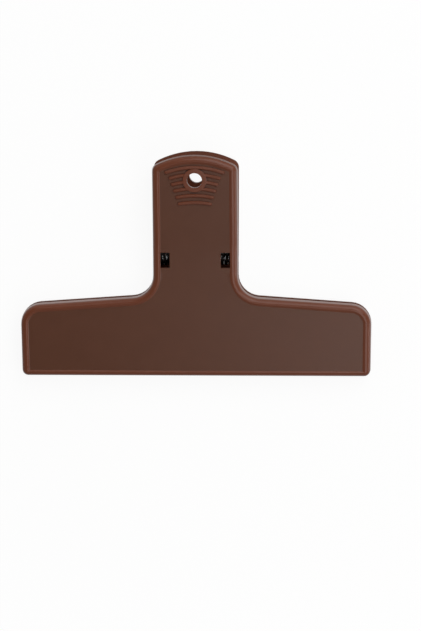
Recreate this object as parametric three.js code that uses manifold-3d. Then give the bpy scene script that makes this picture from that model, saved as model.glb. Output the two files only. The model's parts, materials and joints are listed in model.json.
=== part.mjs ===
// Large plastic paper clip: two moulded T-shaped halves turn on a steel pin between their
// handles, and a double torsion spring round that pin holds the jaws shut.
// Millimetres, +Z up. The clip lies on its back on a flat surface: +X runs along the jaws,
// +Y from the lips to the handle, and the front half faces up. The origin is on the surface,
// below the middle of the clip.
import * as THREE from 'three';
import { mergeVertices } from 'three/addons/utils/BufferGeometryUtils.js';
import Module from 'manifold-3d';

const wasm = await Module();
wasm.setup();

// Outline of a half, seen from the front
const JAW_WIDTH = 152;
const JAW_TAPER = 0.45; // each end of the jaw leans in by this much towards the lips
const JAW_END_HEIGHT = 31.1; // from the lips to the top of the jaw, at its outer ends
const ARM_SLOPE_DEG = 4; // the jaw's top edge climbs towards the handle
const HANDLE_WIDTH = 36.8;
const HALF_LENGTH = 96.7; // from the lips to the top of the handle
const HANDLE_TOP_RADIUS = 37;
const LIP_CORNER_RADIUS = 2.8;
const ARM_CORNER_RADIUS = 9;
const NECK_RADIUS = 9.5;
const HANDLE_CORNER_RADIUS = 3.4;

// Moulded section of a half: a tray with a rounded rim round a sunk face
const SHELL_DEPTH = 5.2; // from the open edge to the crest of the rim
const WALL_DRAFT = 0.25; // how far the outer wall leans in below the rim's round
const RIM_WIDTH = 2.5; // from the outline in to the crest
const LIP_RIM_SHARE = 0.75; // the rim is narrower along the lips, by this factor
const RIM_ROUND = 2; // height of the round
const RIM_STEP_WIDTH = 1; // from the crest in to the face
const FACE_SINK = 0.45; // how far the face lies below the crest
const PLATE = 1.9; // thickness of the face
const WALL = 2.2; // thickness of the side walls
const CAVITY_DRAFT = 0.2;

// Ribs and seats inside a half
const RIB_PITCH = 13;
const RIB_THICKNESS = 1.2;
const RIB_SETBACK = 0.7; // the ribs stop this far short of the open edge
const RIB_TOP = 39; // highest point of a rib, from the lips
const LIP_HEIGHT = 4.6; // solid strip that grips the paper
const TOOTH_PITCH = 1.2;
const TOOTH_DEPTH = 0.45;
const TOOTH_COUNT = 3;
const LIP_GAP = 0.3; // between the closed lips

// How the halves stand to each other
const PIVOT_HEIGHT = 51; // from the lips to the hinge axis
const JAW_LEAN_DEG = 3; // each jaw leans out from the lips to the hinge
const HANDLE_LEAN_DEG = 7; // each handle leans out from the hinge to its top
const BEND_LENGTH = 16; // stretch round the hinge over which one lean turns into the other
const BEND_STEPS = 6;

// Windows over the spring
const WINDOW_WIDTH = 4;
const WINDOW_HEIGHT = 6.7;
const WINDOW_SPACING = 26;

// Hole to hang the clip by, and the ring round it
const HOLE_RADIUS = 3.25;
const HOLE_FROM_TOP = 10.7; // from the top of the handle to the middle of the hole
const RING_WIDTH = 1.95;
const RING_HEIGHT = 0.8;
const RING_ROUND = 0.35;

// Curved grip ridges on the handle
const RIDGE_COUNT = 6;
const RIDGE_PITCH = 3.05;
const RIDGE_WIDTH = 1.7;
const RIDGE_HEIGHT = 0.85;
const RIDGE_ARC_RADIUS = 35;
const RIDGES_FROM_TOP = 5.1; // from the top of the handle to the middle of the highest ridge
const TOP_RIDGE_LENGTH = 26;
const SECOND_RIDGE_LENGTH = 22.6;
const LAST_RIDGE_LENGTH = 15;

// Hinge
const PIN_DIAMETER = 2.5;
const PIN_CLEARANCE = 0.3;
const PIN_CHAMFER = 0.3;
const PIN_RECESS = 0.2; // each end of the pin lies this far inside its ear's outer face
const EAR_RADIUS = 3.2;
const EAR_CLEARANCE = 0.4; // round the outer ears, in the walls of the other half
const OUTER_EAR_SETBACK = 0.25; // from the handle's side in to the outer ears
const OUTER_EAR_THICKNESS = 2.1;
const OUTER_EAR_ROOT = 1.2; // the outer ears grow this far up the side walls
const INNER_EAR_THICKNESS = 2;
const INNER_EAR_ROOT = 0.8; // the inner ears sink this far into the face's back

// Double torsion spring
const WIRE = 1.2;
const COIL_RADIUS = 2.4; // to the middle of the wire
const COIL_TURNS = 3; // whole turns, to which the legs add about half a turn
const TURN_GAP = 0.5;
const COIL_SIDE_GAP = 0.45; // to the outer ear, and to the inner ear
const LEG_LENGTH = 24;
const BRIDGE_LENGTH = 20; // from the coils up to the cross bar
const BRIDGE_CORNER = 2.5;
const SEAT_GAP = 0.3; // between the wire and the face that it presses on
const LEG_GUIDE_THICKNESS = 1;
const LEG_GUIDE_HEIGHT = 1.6;
const LEG_GUIDE_LENGTH = 12;
const KEEPER_HEIGHT = 1.6; // ledge that keeps the cross bar in its place

// Fineness of the curves
const CORNER_STEPS = 8;
const SMALL_CORNER_STEPS = 6;
const CROWN_STEPS = 14;
const RIM_STEPS = 5;
const ROUND_SIDES = 28;
const RIDGE_SIDES = 8;
const RIDGE_STATIONS = 8;
const RIDGE_END_STEPS = 3;
const STEPS_PER_TURN = 8;
const WIRE_SIDES = 5;

// Small overlap that lets two solids join, and small excess that lets a cut run through
const BITE = 0.3;
const OVERCUT = 1;

const radians = THREE.MathUtils.degToRad;
const ARM_SLOPE = Math.tan(radians(ARM_SLOPE_DEG));
const JAW_LEAN = Math.tan(radians(JAW_LEAN_DEG));
const HANDLE_LEAN = Math.tan(radians(HANDLE_LEAN_DEG));
const FACE_HEIGHT = SHELL_DEPTH - FACE_SINK;
const PLATE_BACK = FACE_HEIGHT - PLATE;
const BORE_RADIUS = PIN_DIAMETER / 2 + PIN_CLEARANCE;
const BEND_START = PIVOT_HEIGHT - BEND_LENGTH / 2;
const BEND_END = PIVOT_HEIGHT + BEND_LENGTH / 2;
const HOLE_HEIGHT = HALF_LENGTH - HOLE_FROM_TOP;
const RIDGE_TOP = HALF_LENGTH - RIDGES_FROM_TOP;

// Places across the hinge, measured from the middle of the clip
const OUTER_EAR_OUTSIDE = HANDLE_WIDTH / 2 - OUTER_EAR_SETBACK;
const OUTER_EAR_INSIDE = OUTER_EAR_OUTSIDE - OUTER_EAR_THICKNESS;
const COIL_PITCH = WIRE + TURN_GAP;
const COIL_OUTSIDE = OUTER_EAR_INSIDE - COIL_SIDE_GAP - WIRE / 2;

// Solids and geometries

function toSolid(geometry) {
  const bare = geometry.clone();
  bare.deleteAttribute('normal');
  bare.deleteAttribute('uv');
  const merged = mergeVertices(bare, 1e-4);
  return new wasm.Manifold(new wasm.Mesh({
    numProp: 3,
    vertProperties: new Float32Array(merged.attributes.position.array),
    triVerts: new Uint32Array(merged.index.array),
  }));
}

function toGeometry(solid) {
  const mesh = solid.getMesh();
  const geometry = new THREE.BufferGeometry();
  geometry.setAttribute('position', new THREE.BufferAttribute(mesh.vertProperties, 3));
  geometry.setIndex(new THREE.BufferAttribute(mesh.triVerts, 1));
  return geometry;
}

// Triangles that close a flat ring of points, facing the side from which it runs
// counter-clockwise.
function ringCap(ring) {
  const normal = new THREE.Vector3();
  ring.forEach((point, i) => {
    const next = ring[(i + 1) % ring.length];
    normal.x += (point.y - next.y) * (point.z + next.z);
    normal.y += (point.z - next.z) * (point.x + next.x);
    normal.z += (point.x - next.x) * (point.y + next.y);
  });
  const level = new THREE.Quaternion();
  level.setFromUnitVectors(normal.normalize(), new THREE.Vector3(0, 0, 1));
  const flat = ring.map((point) => {
    const turned = point.clone().applyQuaternion(level);
    return new THREE.Vector2(turned.x, turned.y);
  });
  return THREE.ShapeUtils.triangulateShape(flat, []);
}

// Closed skin through rings of equal point count, each counter-clockwise as seen from the
// side that the rings advance to.
function loft(rings) {
  const count = rings[0].length;
  const positions = rings.flat().flatMap((point) => point.toArray());
  const triangles = [];
  for (let r = 0; r + 1 < rings.length; r += 1) {
    for (let i = 0; i < count; i += 1) {
      const low = r * count + i;
      const lowNext = r * count + ((i + 1) % count);
      const high = low + count;
      const highNext = lowNext + count;
      triangles.push(low, lowNext, highNext, low, highNext, high);
    }
  }
  const last = (rings.length - 1) * count;
  ringCap(rings[0]).forEach(([a, b, c]) => triangles.push(a, c, b));
  ringCap(rings[rings.length - 1]).forEach(([a, b, c]) => {
    triangles.push(last + a, last + b, last + c);
  });
  const geometry = new THREE.BufferGeometry();
  geometry.setAttribute('position', new THREE.Float32BufferAttribute(positions, 3));
  geometry.setIndex(triangles);
  return geometry;
}

function block(from, to) {
  const size = to.clone().sub(from);
  const geometry = new THREE.BoxGeometry(size.x, size.y, size.z);
  geometry.translate((from.x + to.x) / 2, (from.y + to.y) / 2, (from.z + to.z) / 2);
  return toSolid(geometry);
}

// Outline drawn in the plane across the hinge, given as Y and Z, and drawn out along X.
function alongHinge(shape, middle, thickness) {
  const geometry = new THREE.ExtrudeGeometry(shape, {
    depth: thickness,
    bevelEnabled: false,
    curveSegments: ROUND_SIDES / 2,
  });
  geometry.applyMatrix4(new THREE.Matrix4().makeBasis(
    new THREE.Vector3(0, 1, 0),
    new THREE.Vector3(0, 0, 1),
    new THREE.Vector3(1, 0, 0),
  ));
  geometry.translate(middle - thickness / 2, 0, 0);
  return toSolid(geometry);
}

// Outline of a half

// Point where the line through a and b meets the line through c and d.
function meeting(a, b, c, d) {
  const first = b.clone().sub(a);
  const second = d.clone().sub(c);
  const along = c.clone().sub(a).cross(second) / first.cross(second);
  return a.clone().addScaledVector(first, along);
}

// Moves the line from a to b to its left by the inset.
function inwards([a, b], inset) {
  const along = b.clone().sub(a).normalize();
  const shift = new THREE.Vector2(-along.y, along.x).multiplyScalar(inset);
  return [a.clone().add(shift), b.clone().add(shift)];
}

// Arc that rounds the corner where the first line runs into the second.
function roundedCorner(first, second, radius, steps) {
  const corner = meeting(...first, ...second);
  const arriving = first[1].clone().sub(first[0]).normalize();
  const leaving = second[1].clone().sub(second[0]).normalize();
  const turn = Math.atan2(arriving.cross(leaving), arriving.dot(leaving));
  const start = corner.addScaledVector(arriving, -radius * Math.tan(Math.abs(turn) / 2));
  const towards = new THREE.Vector2(-arriving.y, arriving.x);
  const centre = start.clone().addScaledVector(towards, radius * Math.sign(turn));
  const points = [];
  for (let i = 0; i <= steps; i += 1) {
    points.push(start.clone().rotateAround(centre, (turn * i) / steps));
  }
  return points;
}

// The whole outline, counter-clockwise from the right end of the lips, drawn in by the inset,
// of which the lips take a smaller share.
// Outer corners lose the inset from their radius and the neck gains it.
function outline(inset) {
  const smallest = 0.3;
  const tighter = (radius) => Math.max(radius - inset, smallest);
  const halfJaw = JAW_WIDTH / 2;
  const halfHandle = HANDLE_WIDTH / 2;
  const armTop = (x) => JAW_END_HEIGHT + (halfJaw - x) * ARM_SLOPE;
  const point = (x, y) => new THREE.Vector2(x, y);
  const lips = inwards([point(0, 0), point(halfJaw, 0)], inset * LIP_RIM_SHARE);
  const end = inwards([point(halfJaw - JAW_TAPER, 0), point(halfJaw, JAW_END_HEIGHT)], inset);
  const arm = inwards([point(halfJaw, armTop(halfJaw)), point(0, armTop(0))], inset);
  const side = inwards([point(halfHandle, 0), point(halfHandle, HALF_LENGTH)], inset);
  const crown = HANDLE_TOP_RADIUS - inset;
  const crownCentre = point(0, HALF_LENGTH - HANDLE_TOP_RADIUS);
  const cornerRadius = tighter(HANDLE_CORNER_RADIUS);
  const cornerX = halfHandle - inset - cornerRadius;
  const cornerAngle = Math.acos(cornerX / (crown - cornerRadius));
  const cornerCentre = point(cornerX, (crown - cornerRadius) * Math.sin(cornerAngle));
  cornerCentre.add(crownCentre);
  const right = [
    ...roundedCorner(lips, end, tighter(LIP_CORNER_RADIUS), SMALL_CORNER_STEPS),
    ...roundedCorner(end, arm, tighter(ARM_CORNER_RADIUS), CORNER_STEPS),
    ...roundedCorner(arm, side, NECK_RADIUS + inset, CORNER_STEPS),
  ];
  for (let i = 0; i <= SMALL_CORNER_STEPS; i += 1) {
    const angle = (cornerAngle * i) / SMALL_CORNER_STEPS;
    right.push(point(cornerRadius, 0).rotateAround(point(0, 0), angle).add(cornerCentre));
  }
  const crownPoints = [];
  for (let i = 1; i < CROWN_STEPS; i += 1) {
    const angle = cornerAngle + ((Math.PI - 2 * cornerAngle) * i) / CROWN_STEPS;
    crownPoints.push(point(crown, 0).rotateAround(point(0, 0), angle).add(crownCentre));
  }
  const left = right.map(({ x, y }) => point(-x, y)).reverse();
  return [...right, ...crownPoints, ...left];
}

function outlineAt(inset, z) {
  return outline(inset).map(({ x, y }) => new THREE.Vector3(x, y, z));
}

// Tray of a half, flat: X across, Y up from the lips, Z from the open edge to the rim

function traySolid() {
  const rings = [outlineAt(0, 0)];
  for (let i = 0; i <= RIM_STEPS; i += 1) {
    const angle = (i / RIM_STEPS) * (Math.PI / 2);
    const inset = RIM_WIDTH - (RIM_WIDTH - WALL_DRAFT) * Math.cos(angle);
    rings.push(outlineAt(inset, SHELL_DEPTH - RIM_ROUND + RIM_ROUND * Math.sin(angle)));
  }
  const stepParts = 3;
  for (let i = 1; i <= stepParts; i += 1) {
    const part = i / stepParts;
    const drop = FACE_SINK * (1 - Math.cos(part * Math.PI)) / 2;
    rings.push(outlineAt(RIM_WIDTH + RIM_STEP_WIDTH * part, SHELL_DEPTH - drop));
  }
  return toSolid(loft(rings));
}

// Ribs of the jaw, from the lip strip up to the jaw's top edge.
function jawRibs() {
  const reach = JAW_WIDTH / 2 - WALL - RIB_PITCH / 2;
  const each = Math.floor(reach / RIB_PITCH);
  const ribs = [];
  for (let i = -each; i <= each; i += 1) {
    const x = i * RIB_PITCH;
    ribs.push(block(
      new THREE.Vector3(x - RIB_THICKNESS / 2, 0, RIB_SETBACK),
      new THREE.Vector3(x + RIB_THICKNESS / 2, RIB_TOP, SHELL_DEPTH),
    ));
  }
  return ribs;
}

// Ribs beside the spring's outer legs, and the ledge above its cross bar.
function springSeats() {
  const root = PLATE_BACK + BITE;
  const guideOutside = COIL_OUTSIDE - WIRE / 2 - SEAT_GAP;
  const guideTop = PIVOT_HEIGHT + LEG_LENGTH;
  const seats = [-1, 1].map((side) => {
    const near = side * guideOutside;
    const far = side * (guideOutside - LEG_GUIDE_THICKNESS);
    return block(
      new THREE.Vector3(Math.min(near, far), guideTop - LEG_GUIDE_LENGTH, PLATE_BACK - LEG_GUIDE_HEIGHT),
      new THREE.Vector3(Math.max(near, far), guideTop, root),
    );
  });
  const ledge = PIVOT_HEIGHT + BRIDGE_LENGTH + WIRE / 2 + SEAT_GAP;
  const ledgeEnd = guideOutside - LEG_GUIDE_THICKNESS - BITE;
  seats.push(block(
    new THREE.Vector3(-ledgeEnd, ledge, PLATE_BACK - KEEPER_HEIGHT),
    new THREE.Vector3(ledgeEnd, ledge + RIB_THICKNESS, root),
  ));
  return seats;
}

function cavitySolid() {
  let cavity = toSolid(loft([outlineAt(WALL, -OVERCUT), outlineAt(WALL + CAVITY_DRAFT, PLATE_BACK)]));
  const halfWidth = JAW_WIDTH / 2;
  const lipStrip = block(
    new THREE.Vector3(-halfWidth, -OVERCUT, -2 * OVERCUT),
    new THREE.Vector3(halfWidth, LIP_HEIGHT, SHELL_DEPTH),
  );
  [lipStrip, ...jawRibs(), ...springSeats()].forEach((solid) => {
    cavity = cavity.subtract(solid);
  });
  return cavity;
}

// Raised ring round the hole, with rounded edges.
function ringSolid() {
  const outside = HOLE_RADIUS + RING_WIDTH;
  const base = FACE_HEIGHT - BITE;
  const top = FACE_HEIGHT + RING_HEIGHT;
  const profile = [new THREE.Vector2(HOLE_RADIUS - BITE, base), new THREE.Vector2(outside, base)];
  const quarter = Math.PI / 2;
  const roundSteps = 3;
  for (let i = 0; i <= roundSteps; i += 1) {
    const angle = (quarter * i) / roundSteps;
    profile.push(new THREE.Vector2(
      outside - RING_ROUND * (1 - Math.cos(angle)),
      top - RING_ROUND * (1 - Math.sin(angle)),
    ));
  }
  profile.push(new THREE.Vector2(HOLE_RADIUS - BITE, top), profile[0].clone());
  const geometry = new THREE.LatheGeometry(profile, ROUND_SIDES);
  geometry.rotateX(quarter);
  geometry.translate(0, HOLE_HEIGHT, 0);
  return toSolid(geometry);
}

// One curved ridge, half-round in section, with rounded ends.
function ridgeSolid(middle, length) {
  const half = RIDGE_WIDTH / 2;
  const swing = Math.asin((length / 2 - half) / RIDGE_ARC_RADIUS);
  const stations = [];
  for (let i = RIDGE_END_STEPS; i > 0; i -= 1) {
    const angle = (Math.PI / 2) * (i / (RIDGE_END_STEPS + 0.5));
    stations.push([-swing - (half * Math.sin(angle)) / RIDGE_ARC_RADIUS, Math.cos(angle)]);
  }
  for (let i = 0; i <= RIDGE_STATIONS; i += 1) {
    stations.push([swing * ((2 * i) / RIDGE_STATIONS - 1), 1]);
  }
  stations.slice(0, RIDGE_END_STEPS).reverse().forEach(([angle, scale]) => {
    stations.push([-angle, scale]);
  });
  const rings = stations.map(([angle, scale]) => {
    const ring = [];
    for (let i = 0; i < RIDGE_SIDES; i += 1) {
      const around = (2 * Math.PI * (i + 0.5)) / RIDGE_SIDES;
      const radius = RIDGE_ARC_RADIUS + half * scale * Math.cos(around);
      ring.push(new THREE.Vector3(
        radius * Math.sin(angle),
        middle - RIDGE_ARC_RADIUS + radius * Math.cos(angle),
        FACE_HEIGHT + RIDGE_HEIGHT * scale * Math.sin(around),
      ));
    }
    return ring;
  });
  return toSolid(loft(rings));
}

function gripRidges() {
  const ridges = [ridgeSolid(RIDGE_TOP, TOP_RIDGE_LENGTH)];
  for (let i = 1; i < RIDGE_COUNT; i += 1) {
    const part = (i - 1) / (RIDGE_COUNT - 2);
    const length = THREE.MathUtils.lerp(SECOND_RIDGE_LENGTH, LAST_RIDGE_LENGTH, part);
    ridges.push(ridgeSolid(RIDGE_TOP - i * RIDGE_PITCH, length));
  }
  return ridges;
}

function holeSolid() {
  const geometry = new THREE.CylinderGeometry(HOLE_RADIUS, HOLE_RADIUS, 4 * SHELL_DEPTH, ROUND_SIDES);
  geometry.rotateX(Math.PI / 2);
  geometry.translate(0, HOLE_HEIGHT, 0);
  return toSolid(geometry);
}

function windowSolids() {
  return [-1, 1].map((side) => {
    const x = (side * WINDOW_SPACING) / 2;
    return block(
      new THREE.Vector3(x - WINDOW_WIDTH / 2, PIVOT_HEIGHT - WINDOW_HEIGHT / 2, 0),
      new THREE.Vector3(x + WINDOW_WIDTH / 2, PIVOT_HEIGHT + WINDOW_HEIGHT / 2, 2 * SHELL_DEPTH),
    );
  });
}

function flatHalf() {
  let half = traySolid().subtract(cavitySolid());
  [ringSolid(), ...gripRidges()].forEach((solid) => {
    half = half.add(solid);
  });
  [holeSolid(), ...windowSolids()].forEach((solid) => {
    half = half.subtract(solid);
  });
  return half;
}

// Bend of a half: how far its open edge stands off the plane between the halves

function standOff(y) {
  const lean = LIP_GAP / 2 + y * JAW_LEAN;
  if (y <= BEND_START) {
    return lean;
  }
  const inBend = Math.min(y, BEND_END) - BEND_START;
  const past = Math.max(y - BEND_END, 0);
  return lean + (HANDLE_LEAN - JAW_LEAN) * (inBend ** 2 / (2 * BEND_LENGTH) + past);
}

// Splits every facet that crosses a line of constant Y, so that the skin can bend there.
function splitAcross(points, triangles, level) {
  const made = new Map();
  const side = points.map(({ y }) => (Math.abs(y - level) < 1e-4 ? 0 : Math.sign(y - level)));
  const crossing = (a, b) => {
    const low = Math.min(a, b);
    const high = Math.max(a, b);
    const key = `${low} ${high}`;
    if (!made.has(key)) {
      const part = (level - points[low].y) / (points[high].y - points[low].y);
      made.set(key, points.push(points[low].clone().lerp(points[high], part)) - 1);
      side.push(0);
    }
    return made.get(key);
  };
  return triangles.flatMap((triangle) => {
    const sides = triangle.map((index) => side[index]);
    if (!(sides.includes(1) && sides.includes(-1))) {
      return [triangle];
    }
    const start = sides.includes(0)
      ? sides.indexOf(0)
      : sides.findIndex((s) => sides.filter((other) => other === s).length === 1);
    const [a, b, c] = [0, 1, 2].map((i) => triangle[(start + i) % 3]);
    if (side[a] === 0) {
      const middle = crossing(b, c);
      return [[a, b, middle], [a, middle, c]];
    }
    const first = crossing(a, b);
    const second = crossing(a, c);
    return [[a, first, second], [first, b, c], [first, c, second]];
  });
}

function bent(geometry) {
  const place = geometry.attributes.position;
  const points = [];
  for (let i = 0; i < place.count; i += 1) {
    points.push(new THREE.Vector3().fromBufferAttribute(place, i));
  }
  let triangles = [];
  for (let i = 0; i < geometry.index.count; i += 3) {
    triangles.push([0, 1, 2].map((corner) => geometry.index.getX(i + corner)));
  }
  for (let i = 0; i <= BEND_STEPS; i += 1) {
    const level = THREE.MathUtils.lerp(BEND_START, BEND_END, i / BEND_STEPS);
    triangles = splitAcross(points, triangles, level);
  }
  const raised = points.flatMap(({ x, y, z }) => [x, y, z + standOff(y)]);
  const result = new THREE.BufferGeometry();
  result.setAttribute('position', new THREE.Float32BufferAttribute(raised, 3));
  result.setIndex(triangles.flat());
  return result;
}

// Gripping teeth along the lip, level with the plane between the halves.
function teethSolid() {
  const start = (LIP_HEIGHT - TOOTH_COUNT * TOOTH_PITCH) / 2;
  const crest = LIP_GAP / 2;
  const shape = new THREE.Shape();
  shape.moveTo(start, crest + TOOTH_DEPTH);
  for (let i = 0; i < TOOTH_COUNT; i += 1) {
    const y = start + i * TOOTH_PITCH;
    shape.lineTo(y + TOOTH_PITCH / 4, crest);
    shape.lineTo(y + (TOOTH_PITCH * 3) / 4, crest);
    shape.lineTo(y + TOOTH_PITCH, crest + TOOTH_DEPTH);
  }
  const top = crest + TOOTH_DEPTH + LIP_HEIGHT * JAW_LEAN + BITE;
  shape.lineTo(start + TOOTH_COUNT * TOOTH_PITCH, top);
  shape.lineTo(start, top);
  return alongHinge(shape, 0, JAW_WIDTH - 2 * (LIP_CORNER_RADIUS + JAW_TAPER));
}

// Ear round the pin, a U with its bore, growing from the given height down to the hinge axis.
function earSolid(middle, thickness, root) {
  const shape = new THREE.Shape();
  shape.moveTo(EAR_RADIUS, root);
  shape.lineTo(-EAR_RADIUS, root);
  shape.absarc(0, 0, EAR_RADIUS, Math.PI, 2 * Math.PI, false);
  const bore = new THREE.Path();
  bore.absarc(0, 0, BORE_RADIUS, 0, 2 * Math.PI, true);
  shape.holes.push(bore);
  return alongHinge(shape, middle, thickness).translate(0, PIVOT_HEIGHT, 0);
}

// Lean of a straight spring leg, from the hinge up the handle, that brings its tip to the
// back of the handle's face.
function legLean(length) {
  const seat = standOff(BEND_END) - (HANDLE_LEAN * BEND_LENGTH) / 2
    + PLATE_BACK - SEAT_GAP - WIRE / 2;
  const across = COIL_RADIUS - HANDLE_LEAN * length;
  const along = length + HANDLE_LEAN * COIL_RADIUS;
  return Math.atan2(along, across) - Math.acos(seat / Math.hypot(across, along));
}

const LEG_LEAN = legLean(LEG_LENGTH);
const BRIDGE_LEAN = legLean(BRIDGE_LENGTH);
const COIL_SWEEP = 2 * Math.PI * COIL_TURNS + Math.PI - LEG_LEAN - BRIDGE_LEAN;
const COIL_INSIDE = COIL_OUTSIDE - (COIL_PITCH * COIL_SWEEP) / (2 * Math.PI);
const OUTER_EAR_MIDDLE = (OUTER_EAR_OUTSIDE + OUTER_EAR_INSIDE) / 2;
const INNER_EAR_OUTSIDE = COIL_INSIDE - WIRE / 2 - COIL_SIDE_GAP;
const INNER_EAR_MIDDLE = INNER_EAR_OUTSIDE - INNER_EAR_THICKNESS / 2;
const EDGE_AT_PIVOT = standOff(PIVOT_HEIGHT);

// Both halves before their ears: the bent tray with its lip teeth.
const bareHalf = toSolid(bent(toGeometry(flatHalf()))).add(teethSolid());

// Half whose ears grow from the side walls of its handle.
function frontHalf() {
  const root = EDGE_AT_PIVOT + OUTER_EAR_ROOT;
  const ears = [-1, 1].map((side) => earSolid(side * OUTER_EAR_MIDDLE, OUTER_EAR_THICKNESS, root));
  return toGeometry(bareHalf.add(ears[0]).add(ears[1]));
}

// Half whose ears stand between the coils, with hollows in its walls for the outer ears.
function rearHalf() {
  const root = EDGE_AT_PIVOT + PLATE_BACK + INNER_EAR_ROOT;
  const hollow = OUTER_EAR_INSIDE - EAR_CLEARANCE;
  const hollowLength = HANDLE_WIDTH / 2 + OVERCUT - hollow;
  let half = bareHalf;
  [-1, 1].forEach((side) => {
    const radius = EAR_RADIUS + EAR_CLEARANCE;
    const cut = new THREE.CylinderGeometry(radius, radius, hollowLength, ROUND_SIDES);
    cut.rotateZ(Math.PI / 2);
    cut.translate(side * (hollow + hollowLength / 2), PIVOT_HEIGHT, 0);
    half = half.subtract(toSolid(cut));
    half = half.add(earSolid(side * INNER_EAR_MIDDLE, INNER_EAR_THICKNESS, root));
  });
  return toGeometry(half);
}

// Hinge pin, along X round the origin
function pinGeometry() {
  const radius = PIN_DIAMETER / 2;
  const end = OUTER_EAR_OUTSIDE - PIN_RECESS;
  const profile = [
    new THREE.Vector2(0, -end),
    new THREE.Vector2(radius - PIN_CHAMFER, -end),
    new THREE.Vector2(radius, -end + PIN_CHAMFER),
    new THREE.Vector2(radius, end - PIN_CHAMFER),
    new THREE.Vector2(radius - PIN_CHAMFER, end),
    new THREE.Vector2(0, end),
  ];
  const geometry = new THREE.LatheGeometry(profile, ROUND_SIDES);
  geometry.rotateZ(-Math.PI / 2);
  return geometry;
}

// Middle line of the spring's wire, round the hinge axis: in from the tip of one outer leg,
// round its coil, up to the cross bar behind the pin, and back out the same way.
function springPath() {
  const onCoil = (angle, x) => new THREE.Vector3(
    x,
    COIL_RADIUS * Math.cos(angle),
    COIL_RADIUS * Math.sin(angle),
  );
  const legAway = new THREE.Vector3(0, Math.cos(LEG_LEAN), Math.sin(LEG_LEAN));
  const bridgeAway = new THREE.Vector3(0, Math.cos(BRIDGE_LEAN), -Math.sin(BRIDGE_LEAN));
  const startAngle = Math.PI / 2 + LEG_LEAN;
  const points = [onCoil(startAngle, COIL_OUTSIDE).addScaledVector(legAway, LEG_LENGTH)];
  const steps = Math.round((STEPS_PER_TURN * COIL_SWEEP) / (2 * Math.PI));
  for (let i = 0; i <= steps; i += 1) {
    const part = i / steps;
    const x = THREE.MathUtils.lerp(COIL_OUTSIDE, COIL_INSIDE, part);
    points.push(onCoil(startAngle + COIL_SWEEP * part, x));
  }
  const corner = points[points.length - 1].clone();
  corner.addScaledVector(bridgeAway, BRIDGE_LENGTH - BRIDGE_CORNER);
  const cornerSteps = STEPS_PER_TURN / 2;
  for (let i = 0; i <= cornerSteps; i += 1) {
    const angle = (Math.PI / 2) * (i / cornerSteps);
    const point = corner.clone().addScaledVector(bridgeAway, BRIDGE_CORNER * Math.sin(angle));
    point.x -= BRIDGE_CORNER * (1 - Math.cos(angle));
    points.push(point);
  }
  const otherSide = points.map(({ x, y, z }) => new THREE.Vector3(-x, y, z)).reverse();
  return [...points, ...otherSide];
}

// Round bar along a path, in one piece.
function wireGeometry(path, diameter, sides) {
  const directions = path.slice(1).map((point, i) => point.clone().sub(path[i]).normalize());
  let across = new THREE.Vector3(1, 0, 0);
  const rings = path.map((point, i) => {
    const before = directions[Math.max(i - 1, 0)];
    const after = directions[Math.min(i, directions.length - 1)];
    const along = before.clone().add(after).normalize();
    across = across.clone().addScaledVector(along, -across.dot(along)).normalize();
    const up = along.clone().cross(across);
    const ring = [];
    for (let k = 0; k < sides; k += 1) {
      const angle = (2 * Math.PI * k) / sides;
      ring.push(point.clone()
        .addScaledVector(across, (diameter / 2) * Math.cos(angle))
        .addScaledVector(up, (diameter / 2) * Math.sin(angle)));
    }
    return ring;
  });
  return loft(rings);
}

// Least gap from the wire to itself, on points along its path that lie apart along the wire.
function leastGap(path, diameter) {
  const spacing = diameter / 3;
  const apart = 4 * diameter;
  const samples = [];
  let travelled = 0;
  path.slice(1).forEach((point, i) => {
    const length = point.distanceTo(path[i]);
    const parts = Math.ceil(length / spacing);
    for (let k = 0; k < parts; k += 1) {
      const place = path[i].clone().lerp(point, k / parts);
      samples.push({ place, at: travelled + (length * k) / parts });
    }
    travelled += length;
  });
  let least = Infinity;
  samples.forEach((one, i) => {
    samples.slice(i + 1).forEach((other) => {
      if (other.at - one.at > apart) {
        least = Math.min(least, one.place.distanceTo(other.place) - diameter);
      }
    });
  });
  return least;
}

// Angle by which the clip tips when it lies on its back, so that the rear half touches the
// surface both with its jaw and with its handle.
function restingLean(rear) {
  const place = rear.attributes.position;
  const rounds = 8;
  let lean = 0;
  for (let round = 0; round < rounds; round += 1) {
    const lowest = [null, null];
    for (let i = 0; i < place.count; i += 1) {
      const y = place.getY(i);
      const z = -place.getZ(i);
      const height = y * Math.sin(lean) + z * Math.cos(lean);
      const part = y < PIVOT_HEIGHT ? 0 : 1;
      if (lowest[part] === null || height < lowest[part].height) {
        lowest[part] = { y, z, height };
      }
    }
    const [jaw, handle] = lowest;
    lean = Math.atan2(jaw.z - handle.z, handle.y - jaw.y);
  }
  return lean;
}

// Materials

const plastic = () => new THREE.MeshStandardMaterial({
  color: 0x56392e,
  roughness: 0.5,
  metalness: 0,
});
const brightSteel = new THREE.MeshStandardMaterial({
  color: 0xa9abae,
  roughness: 0.3,
  metalness: 1,
});
const darkSteel = new THREE.MeshStandardMaterial({
  color: 0x4a4b4e,
  roughness: 0.35,
  metalness: 1,
});

// Assembly: in the clip's own frame Y runs up from the lips and Z forward from the plane
// between the halves. The rear half is turned half round, so that it faces back.

function named(name, geometry, material) {
  const mesh = new THREE.Mesh(geometry, material);
  mesh.name = name;
  return mesh;
}

const rearGeometry = rearHalf();
const rear = named('rear_half', rearGeometry, plastic());
rear.rotation.y = Math.PI;

const hinge = new THREE.Group();
hinge.position.y = PIVOT_HEIGHT;
const wirePath = springPath();
hinge.add(named('hinge_pin', pinGeometry(), brightSteel));
hinge.add(named('torsion_spring', wireGeometry(wirePath, WIRE, WIRE_SIDES), darkSteel));
console.log(`spring: least gap to itself ${leastGap(wirePath, WIRE).toFixed(3)} mm`);

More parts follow.
